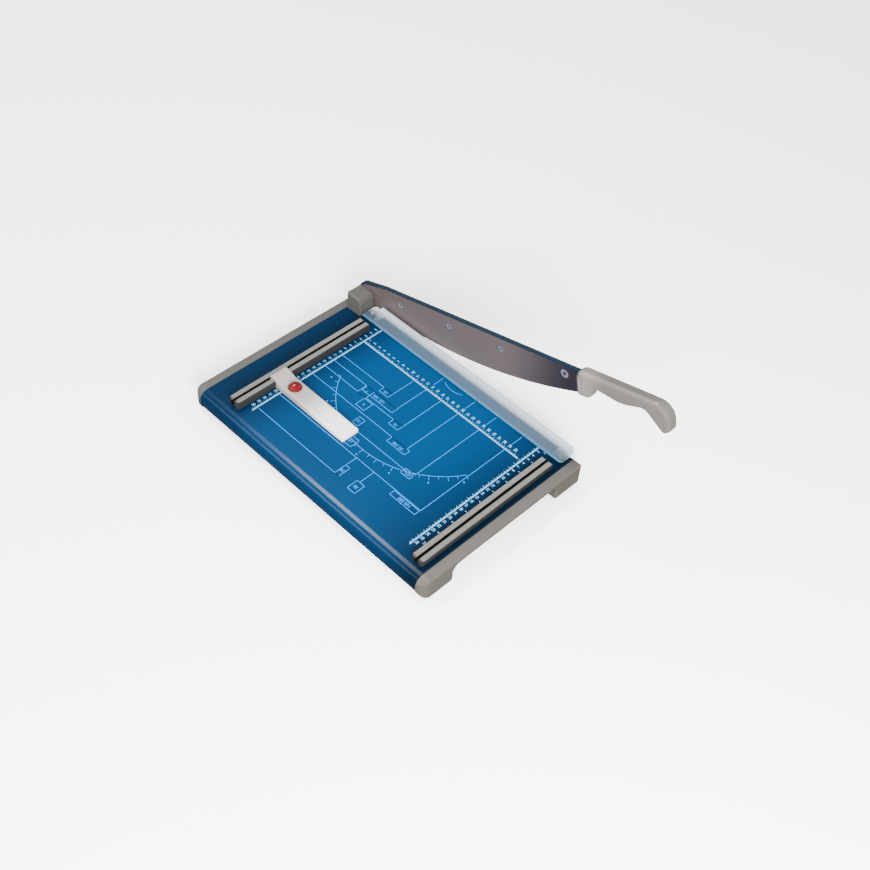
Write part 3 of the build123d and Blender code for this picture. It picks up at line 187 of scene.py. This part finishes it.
# ------------------------------------------------------------------ material helpers
def linear(code):
    """sRGB hex colour as linear red, green, blue and alpha."""
    channels = [int(code[i:i + 2], 16) / 255 for i in (0, 2, 4)]
    return (*[c / 12.92 if c <= 0.04045 else ((c + 0.055) / 1.055) ** 2.4 for c in channels], 1.0)


def add(tree, kind, inputs=None, **settings):
    """Adds a node with its settings, and sets or links its inputs."""
    node = tree.nodes.new(kind)
    for name, value in settings.items():
        setattr(node, name, value)
    for name, value in (inputs or {}).items():
        if isinstance(value, bpy.types.NodeSocket):
            tree.links.new(value, node.inputs[name])
        else:
            node.inputs[name].default_value = value
    return node


def start(name):
    """New material with its node tree and the place on the piece in millimetres."""
    material = bpy.data.materials.new(name)
    material.use_nodes = True
    tree = material.node_tree
    tree.nodes.clear()
    place = add(tree, "ShaderNodeTexCoord").outputs["Object"]
    place = add(tree, "ShaderNodeVectorMath", {0: place, 1: (1 / MM, 1 / MM, 1 / MM)}, operation="MULTIPLY")
    return material, tree, place.outputs[0]


def finish_material(tree, inputs):
    """Closes the tree with a principled shader."""
    shader = add(tree, "ShaderNodeBsdfPrincipled", inputs)
    add(tree, "ShaderNodeOutputMaterial", {"Surface": shader.outputs[0]})


def grain(tree, place, size, detail=2.0):
    """Noise whose lumps are about size millimetres wide."""
    noise = add(tree, "ShaderNodeTexNoise", {"Vector": place, "Scale": 1 / size, "Detail": detail})
    return noise.outputs["Fac"]


def bump(tree, height, depth, edge=0.0):
    """Normal of a relief that is depth millimetres deep, over edges softened by a radius in millimetres."""
    inputs = {"Height": height, "Distance": depth * MM}
    if edge:
        inputs["Normal"] = add(tree, "ShaderNodeBevel", {"Radius": edge * MM}, samples=6).outputs[0]
    return add(tree, "ShaderNodeBump", inputs).outputs["Normal"]


def between(tree, factor, low, high):
    """Factor 0 to 1 spread between two values, or between two colours or colour outputs."""
    if isinstance(low, float):
        return add(tree, "ShaderNodeMapRange", {"Value": factor, "To Min": low, "To Max": high}).outputs[0]
    return add(tree, "ShaderNodeMix", {"Factor": factor, 6: low, 7: high}, data_type="RGBA").outputs[2]


def ramp(tree, value, low, high, start_at=0.0, end_at=1.0):
    """Smooth step of the value from low to high, as a factor."""
    return add(tree, "ShaderNodeMapRange", {"Value": value, "From Min": low, "From Max": high,
                                            "To Min": start_at, "To Max": end_at},
               interpolation_type="SMOOTHSTEP").outputs[0]


def product(tree, *factors):
    """Factors multiplied together."""
    total = factors[0]
    for factor in factors[1:]:
        total = add(tree, "ShaderNodeMath", {0: total, 1: factor}, operation="MULTIPLY").outputs[0]
    return total


def larger(tree, one, other):
    """The larger of two factors."""
    return add(tree, "ShaderNodeMath", {0: one, 1: other}, operation="MAXIMUM").outputs[0]


def within(tree, value, low, high):
    """1 where the value lies between low and high, else 0."""
    over = add(tree, "ShaderNodeMath", {0: value, 1: low}, operation="GREATER_THAN").outputs[0]
    under = add(tree, "ShaderNodeMath", {0: value, 1: high}, operation="LESS_THAN").outputs[0]
    return product(tree, over, under)


def faded(tree, place, colour, painted_light):
    """Colour with painted light or shade, that turns to another one along y: the last argument gives the two
    places and the other's code.
    """
    if not painted_light:
        return colour
    near, far, code = painted_light
    y = add(tree, "ShaderNodeSeparateXYZ", {0: place}).outputs["Y"]
    return between(tree, ramp(tree, y, near, far), colour, linear(code))


# ------------------------------------------------------------------ materials
# The studio is bright enough to wash the floor to white, so base colours are set darker than a finish looks.
# Moulded grain, grinding marks and the mesh of the printing screen are about 0.1 mm wide, too fine to show
# on a whole cutter. They are drawn 7 to 14 times as coarse, so that they break up the light.
def table_enamel():
    """Blue enamel, sprayed and stoved: a deep, even blue with a soft sheen and a faint orange peel.

    Painted light: the blue is painted brightest left of the middle, where the lamps' reflection lies, and
    painted down to navy shade at both ends and round the bent side.
    """
    material, tree, place = start("blue_stove_enamel")
    x, y, _ = add(tree, "ShaderNodeSeparateXYZ", {0: place}).outputs
    # Painted shade: these factors darken the blue towards the rear, towards the front and round the bent left
    # side.
    rear = ramp(tree, y, 85, 175, 1.0, 0.0)
    fore = ramp(tree, y, -220, -60)
    side = product(tree, ramp(tree, x, -152, 60, 0.62, 1.0), ramp(tree, x, -153, -134, 0.3, 1.0))
    # depth is the painted light: 1 where the blue is at full brightness, less where painted shade darkens it
    # to navy.
    depth = product(tree, rear, fore, side)
    peel = grain(tree, place, 1.6)        # its true width
    # Painted shade: the navy that the shaded blue turns to, darkest at the front edge.
    painted_navy_shade = between(tree, ramp(tree, y, -218, -150), linear("010B16"), linear("011529"))
    finish_material(tree, {
        "Base Color": between(tree, depth, painted_navy_shade, linear("002B4D")),
        "Roughness": between(tree, peel, 0.18, 0.24), "IOR": 1.5, "Specular IOR Level": 0.12,
        "Normal": bump(tree, peel, 0.001)})
    return material


def ink(name, code, thin):
    """Screen-printed ink: pale, dry lines without gloss, a little thinner here and there."""
    material, tree, place = start(name)
    film = grain(tree, place, 0.7)
    finish_material(tree, {
        "Base Color": between(tree, film, linear(thin), linear(code)),
        "Roughness": between(tree, film, 0.5, 0.62), "IOR": 1.5, "Specular IOR Level": 0.25})
    return material


def moulded(name, dark, light, roughness=0.5, relief=0.01, pitch=0.9, edge=0.0, painted_light=None, gloss=0.4):
    """Moulded plastic with a fine spark-eroded grain and softened edges, that may carry painted light or shade
    as a turn to another colour along y.
    """
    material, tree, place = start(name)
    fine = grain(tree, place, pitch, 3)
    cloud = grain(tree, place, 40)        # slow drift of the colour over a hand's width
    colour = between(tree, cloud, linear(dark), linear(light))
    finish_material(tree, {
        "Base Color": faded(tree, place, colour, painted_light),
        "Roughness": between(tree, fine, roughness - 0.05, roughness + 0.08),
        "IOR": 1.49, "Specular IOR Level": gloss, "Normal": bump(tree, fine, relief, edge)})
    return material


def metal(name, dark, light, roughness, stretch=(1, 1, 1), pitch=1.0, relief=0.003, metallic=1.0, painted_light=None):
    """Bare metal with grinding marks, drawn out along the directions with a small stretch."""
    material, tree, place = start(name)
    drawn = add(tree, "ShaderNodeVectorMath", {0: place, 1: stretch}, operation="MULTIPLY").outputs[0]
    marks = grain(tree, drawn, pitch, 4)
    colour = between(tree, marks, linear(dark), linear(light))
    finish_material(tree, {
        "Base Color": faded(tree, place, colour, painted_light), "Metallic": metallic,
        "Roughness": between(tree, marks, roughness - 0.06, roughness + 0.08),
        "Normal": bump(tree, marks, relief)})
    return material


def rail_aluminium():
    """Satin anodised extrusion: a flat grey that hardly glints, with painted shade in the slots as its
    sharpest black lines.
    """
    material, tree, place = start("anodised_aluminium")
    _, y, z = add(tree, "ShaderNodeSeparateXYZ", {0: place}).outputs
    reach = SLOT / 2 + 3                  # the slot is wider below its lips
    # Painted shade: black in the slots, where shade falls under their lips.
    slots = []
    for low, high in (FRONT_RAIL, REAR_RAIL):
        middle = (low.y + high.y) / 2 / MM
        slots.append(product(tree, within(tree, y, middle - reach, middle + reach),
                             within(tree, z, TOP / MM + 0.1, high.z / MM - 0.25)))
    painted_slot_shade = larger(tree, *slots)
    marks = grain(tree, place, 1.4, 3)
    # The bare grey is set dark, partly as painted shade in the grooves between the ribs.
    bare = between(tree, marks, linear("2B2A28"), linear("343331"))
    finish_material(tree, {
        "Base Color": between(tree, painted_slot_shade, bare, linear("050505")),
        "Metallic": between(tree, painted_slot_shade, 0.6, 0.0), "Roughness": between(tree, marks, 0.4, 0.52),
        "Normal": bump(tree, marks, 0.002)})
    return material


def clear_acrylic():
    """Clear acrylic, drawn as a profile: bluish where the table shows through, with painted light that whitens
    it along its outer wall.
    """
    material, tree, place = start("clear_acrylic")
    x = add(tree, "ShaderNodeSeparateXYZ", {0: place}).outputs["X"]
    wall = ramp(tree, x, 133, 145)
    lip, rim = within(tree, x, 124, 125.5), within(tree, x, 148.2, 150)
    # Painted light: the colour turns milky white towards the outer wall, for the brightness that shows in it,
    # and the inner lip is a painted pale highlight.
    colour = between(tree, wall, linear("4A5763"), linear("A7B1BC"))
    colour = between(tree, rim, between(tree, lip, colour, linear("4E7C98")), linear("6A747C"))
    # It covers more where the eye looks along the sheet, in the thick wall, and at the cut rim.
    edge = add(tree, "ShaderNodeLayerWeight", {"Blend": 0.45}).outputs["Facing"]
    cover = larger(tree, edge, between(tree, wall, 0.24, 0.5))
    finish_material(tree, {
        "Base Color": colour, "Roughness": 0.22, "IOR": 1.49,
        "Specular IOR Level": 0.0,        # the sheet's far side would glitter through its near one
        "Alpha": larger(tree, cover, between(tree, rim, 0.0, 0.8))})
    return material


def make_materials():
    """All finishes by the slots that they dress, the inks, and the dark of gaps."""
    return {
        "table_paint": table_enamel(),
        # Hot-dip zinc on rolled sheet: dull grey, with spangles 8 mm wide.
        "stiffener_steel": metal("galvanised_sheet", "7E8184", "9EA1A4", 0.42, pitch=8),
        # Injection-moulded and eroded: a warm, even grey that shows its rounded edges but no highlight, with
        # painted shade that darkens it towards the rear.
        "cap_plastic": moulded("warm_grey_abs", "383531", "403C38", edge=1.2, painted_light=(60, 230, "33322F")),
        # Moulded in one round shape and nearly smooth: a broad sheen along the grip, and painted light that
        # makes it paler at its end by the knife.
        "handle_plastic": moulded("light_grey_nylon", "45423F", "4C4946", 0.3, edge=4.5,
                                  painted_light=(-240, -200, "5E5A56"), gloss=0.5),
        # Smooth moulding: the lightest piece on the table, so that the eye finds it first. Painted shade
        # darkens it towards its head at the rear rail.
        "gauge_plastic": moulded("pale_grey_abs", "C4BFB9", "CEC9C3", 0.32, edge=2.5,
                                 painted_light=(35, 115, "726E6B")),
        # Pressed and cured: flat black without sheen.
        "pad_rubber": moulded("black_rubber", "161616", "1E1E1E", 0.8),
        # Turned and bright plated: small sharp glints.
        "zinc_steel": metal("bright_zinc", "A8A6A4", "C4C2C0", 0.3, pitch=0.8, metallic=0.9),
        # Ground along the blade: a dark brown grey, streaked lengthwise, with painted light that makes it
        # paler towards the hinge and painted shade towards the handle.
        "knife_steel": metal("ground_tool_steel", "221E22", "2B262A", 0.42, (0.02, 0.02, 3), 0.7,
                             metallic=0.6, painted_light=(-190, -60, "584E4D")),
        # Cast and bead blasted: a dark matt grey.
        "bracket_iron": metal("bead_blasted_casting", "3A3B3D", "4A4B4D", 0.6),
        # Drawn wire: smooth grey coils with a thin highlight.
        "spring_steel": metal("drawn_spring_wire", "74767A", "94969A", 0.3),
        "rail_aluminium": rail_aluminium(),
        # The same extrusion on its ribs, painted lighter than the bare rail as painted light on the rib
        # crests.
        "rib_aluminium": metal("anodised_rib_aluminium", "5B5A57", "6A6965", 0.4, pitch=1.4, metallic=0.6),
        # Powder coat: nearly black blue with a broad, weak sheen.
        "bar_paint": moulded("blue_powder_coat", "02131F", "031A2A", 0.4),
        # Pressed from powder: a dull brown gold.
        "bronze": metal("sintered_bronze", "8A6A3C", "A5824E", 0.45),
        # Undyed moulding: a waxy off-white.
        "nylon": moulded("natural_nylon", "D8D6CC", "E2E0D8", 0.5),
        "clear_plastic": clear_acrylic(),
        # Moulded in a polished tool: the one strong colour, with a hard round highlight.
        "button_red": moulded("red_gloss_abs", "46080A", "500B0D", 0.18, 0.001),
        # Painted shade on the moulding, round the button.
        "button_painted_shade": moulded("painted_shade_grey_abs", "4A4442", "524B49", 0.6),
        # Gap between two parts, and the painted shade of the screw sockets: dark, with no highlight.
        "shadow_gap": moulded("seam_and_socket_shade", "14171A", "1A1D20", 0.7),
        "format_ink": ink("format_line_ink", "146FBE", "0C64AE"),
        "scale_ink": ink("scale_ink", "7FAFD0", "6C9FC4"),
    }


def dress_frame(finishes):
    """Gives every solid of the frame the finish of its slot."""
    for part in frame["record"]["subparts"]:
        slots = frame["nodes"][part["node"]].data.materials
        slots.clear()
        slots.append(finishes[part["material_slot"]])


# ------------------------------------------------------------------ print
def piece(name, mesh, finish, body):
    """Turns a finished bmesh into a piece that rides on a body."""
    data = bpy.data.meshes.new(name)
    mesh.to_mesh(data)
    mesh.free()
    data.materials.append(FINISHES[finish])
    obj = bpy.data.objects.new(name, data)
    bpy.context.scene.collection.objects.link(obj)
    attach(obj, body)
    return obj


def on_table(x, y):
    """Point of the print, from millimetres off the corner of the scales."""
    return Vector((SCALE_X + x * MM, SCALE_Y + y * MM, PRINT_Z))


def stroke(mesh, x0, y0, x1, y1, width):
    """Straight printed line."""
    first, last = on_table(x0, y0), on_table(x1, y1)
    side = (last - first).normalized().cross(Vector((0, 0, 1))) * width * MM / 2
    corners = (first - side, first + side, last + side, last - side)
    mesh.faces.new([mesh.verts.new(corner) for corner in corners])


def bow(mesh, centre, radius, low, high, width):
    """Printed arc between two angles in degrees."""
    angles = [radians(low + (high - low) * i / ARC_STEPS) for i in range(ARC_STEPS + 1)]
    points = [(centre[0] + radius * cos(angle), centre[1] + radius * sin(angle)) for angle in angles]
    for first, last in zip(points, points[1:]):
        stroke(mesh, *first, *last, width)


def dot(mesh, x, y, radius):
    """Printed dot."""
    place = Matrix.Translation(on_table(x, y))
    bmesh.ops.create_circle(mesh, cap_ends=True, segments=12, radius=radius * MM, matrix=place)


def number(mesh, text, x, y, height, turn=0):
    """Printed number, centred on its place and turned about it by degrees."""
    curve = bpy.data.curves.new("number", "FONT")
    curve.body = str(text)
    curve.size = height * MM / DIGIT
    curve.align_x = curve.align_y = "CENTER"
    writing = bpy.data.objects.new("number", curve)
    data = bpy.data.meshes.new_from_object(writing)
    data.transform(Matrix.Translation(on_table(x, y)) @ Matrix.Rotation(radians(turn), 4, "Z"))
    mesh.from_mesh(data)
    bpy.data.objects.remove(writing)
    bpy.data.meshes.remove(data)


def mark_length(i, reach):
    """Length of the mark at millimetre i of a scale."""
    full, half, plain = reach
    return full if i % 10 == 0 else half if i % 5 == 0 else plain


def scale_print():
    """The scales: along the knife, along the rear rail, and in centimetres and inches at the front."""
    mesh = bmesh.new()
    left, right = WIDE_SCALE
    stroke(mesh, 0, 0, 0, -LONG_SCALE, BOLD)
    stroke(mesh, left, 0, right, 0, BOLD)
    stroke(mesh, left, FRONT_SCALE_Y, right, FRONT_SCALE_Y, BOLD)
    for i in KNIFE_MARKS:
        y = SCALE_TO_RAIL - i
        stroke(mesh, 0, y, mark_length(i, KNIFE_REACH), y, MARK)
    for i in range(1, 31):
        number(mesh, i, KNIFE_COLUMN, KNIFE_ZERO - 10 * i, KNIFE_DIGITS)
    for i in RAIL_MARKS:
        x, reach = SCALE_TO_CUT - i, mark_length(i, RAIL_REACH)
        stroke(mesh, x, 0, x, reach, MARK)
        stroke(mesh, x, FRONT_SCALE_Y, x, FRONT_SCALE_Y + reach, MARK)
    for i in range(3, 27):
        number(mesh, i, SCALE_TO_CUT - 10 * i, REAR_ROW, RAIL_DIGITS)
        number(mesh, i, SCALE_TO_CUT - 10 * i, FRONT_ROW, RAIL_DIGITS)
    for i in range(1, 11):
        number(mesh, i, SCALE_TO_CUT - INCH * i, INCH_ROW, RAIL_DIGITS)
    piece("scale_print", mesh, "scale_ink", "base")


def format_print():
    """Sheet formats nested in the corner of the scales, their numbers, and the protractor."""
    mesh = bmesh.new()
    for across, along in FORMATS:
        stroke(mesh, 0, -along, -across, -along, FINE)
        stroke(mesh, -across, -along, -across, 0, FINE)
    for lead in LEADS:
        stroke(mesh, *lead, FINE)
    for left, right, front, rear, text in BOXES:
        for x in (left, right):
            stroke(mesh, x, front, x, rear, FINE)
        for y in (front, rear):
            stroke(mesh, left, y, right, y, FINE)
        number(mesh, text, (left + right) / 2, (front + rear) / 2, BOX_DIGITS, 90)

    bow(mesh, ARC_CENTRE, ARC_RADIUS, 180 - ARC_REACH, 180 + ARC_REACH, FINE)
    middle = ARC_CENTRE[1]
    for angle in range(-ARC_REACH, ARC_REACH + 1, 5):
        x, y = -cos(radians(angle)), sin(radians(angle))
        reach = ARC_RADIUS + ARC_MARKS[angle % 10 == 0]
        stroke(mesh, ARC_RADIUS * x, middle + ARC_RADIUS * y, reach * x, middle + reach * y, ANGLE_MARK)
    for angle in ARC_DOTS:
        x, y = -cos(radians(angle)), sin(radians(angle))
        dot(mesh, (ARC_RADIUS + DOT_OUT) * x, middle + (ARC_RADIUS + DOT_OUT) * y, DOT_R)
    bow(mesh, *SHORT_ARC, FINE)
    near, far = SHEET_END_X
    for along in SHEET_ENDS:
        stroke(mesh, near, -along, far, -along, FINE)
    piece("format_print", mesh, "format_ink", "base")


# ------------------------------------------------------------------ ribs, seams and sockets
def rib_strip(mesh, x0, x1, y0, y1, base):
    """Strip of fine rounded cross ribs on a flat face."""
    count = round((x1 - x0) / (RIB_PITCH * MM))
    # One rib: how far along its pitch, and how high.
    profile = ((0.0, 0.0), (0.14, 0.55), (0.32, 1.0), (0.56, 1.0), (0.74, 0.55), (0.88, 0.0))
    rows = []
    for i in range(count):
        for along, lift in profile:
            x, z = x0 + (i + along) * (x1 - x0) / count, base + lift * RIB_HEIGHT * MM
            rows.append([mesh.verts.new((x, y, z)) for y in (y0, y1)])
    for (a, b), (c, d) in zip(rows, rows[1:]):
        mesh.faces.new((a, c, d, b))


def rail_ribs():
    """Cross ribs on both strips of each rail, so that the sheet lies on lines."""
    for name, (low, high) in (("front_rail_ribs", FRONT_RAIL), ("rear_rail_ribs", REAR_RAIL)):
        mesh = bmesh.new()
        middle = (low.y + high.y) / 2
        inner, outer = (SLOT / 2 + RIB_TO_SLOT) * MM, (high.y - low.y) / 2 - RIB_TO_EDGE * MM
        for side in (-1, 1):
            y0, y1 = sorted((middle + side * inner, middle + side * outer))
            rib_strip(mesh, low.x + RIB_LEFT * MM, high.x - RIB_RIGHT * MM, y0, y1, high.z)
        piece(name, mesh, "rib_aluminium", "base")


def cap_seams():
    """Dark joints between the sheet and its end caps."""
    mesh = bmesh.new()
    x0, x1, half = TABLE[0].x + BEND * MM, CUT_X - SEAM_TO_CUT * MM, SEAM / 2 * MM
    for y in (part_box("front_end_cap")[0].y + CAP_DEPTH * MM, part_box("rear_end_cap")[1].y - CAP_DEPTH * MM):
        corners = ((x0, y - half), (x1, y - half), (x1, y + half), (x0, y + half))
        mesh.faces.new([mesh.verts.new((*corner, PRINT_Z)) for corner in corners])
    piece("cap_seams", mesh, "shadow_gap", "base")


def button_ring():
    """Ring of painted shade on the gauge, round its button."""
    mesh = bmesh.new()
    middle = (BUTTON[0] + BUTTON[1]) / 2
    level = BUTTON[1].z + (FILM - BUTTON_PROUD) * MM
    angles = [radians(angle) for angle in range(0, 360, 6)]
    inner, outer = [[mesh.verts.new((middle.x + radius * cos(angle), middle.y + radius * sin(angle), level))
                     for angle in angles] for radius in [(BUTTON_R + out) * MM for out in RING]]
    for i in range(len(angles)):
        mesh.faces.new((inner[i - 1], outer[i - 1], outer[i], inner[i]))
    piece("button_ring", mesh, "button_painted_shade", "gauge")


def head_middles(name):
    """Middles of a node's screw heads, on the side that faces the table."""
    place = frame["nodes"][name].matrix_world
    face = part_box(name)[0].x + 0.05 * MM
    groups = []
    for vertex in frame["nodes"][name].data.vertices:
        point = place @ vertex.co
        if point.x > face:
            continue
        for group in groups:
            if (group[0] - point).length < HEAD_APART * MM:
                group.append(point)
                break
        else:
            groups.append([point])
    return [sum(group, Vector()) / len(group) for group in groups]


def screw_sockets():
    """Hexagon sockets in the heads on the knife, as flat discs of painted shade."""
    mesh = bmesh.new()
    turn = Matrix.Rotation(radians(-90), 4, "Y")
    for name, radius in SOCKETS:
        for middle in head_middles(name):
            place = Matrix.Translation(middle - Vector((FILM * MM, 0, 0))) @ turn
            bmesh.ops.create_circle(mesh, cap_ends=True, segments=6, radius=radius * MM, matrix=place)
    piece("screw_sockets", mesh, "shadow_gap", "knife_arm")


make_camera()
make_studio()
FINISHES = make_materials()
dress_frame(FINISHES)
scale_print()
format_print()
rail_ribs()
cap_seams()
button_ring()
screw_sockets()
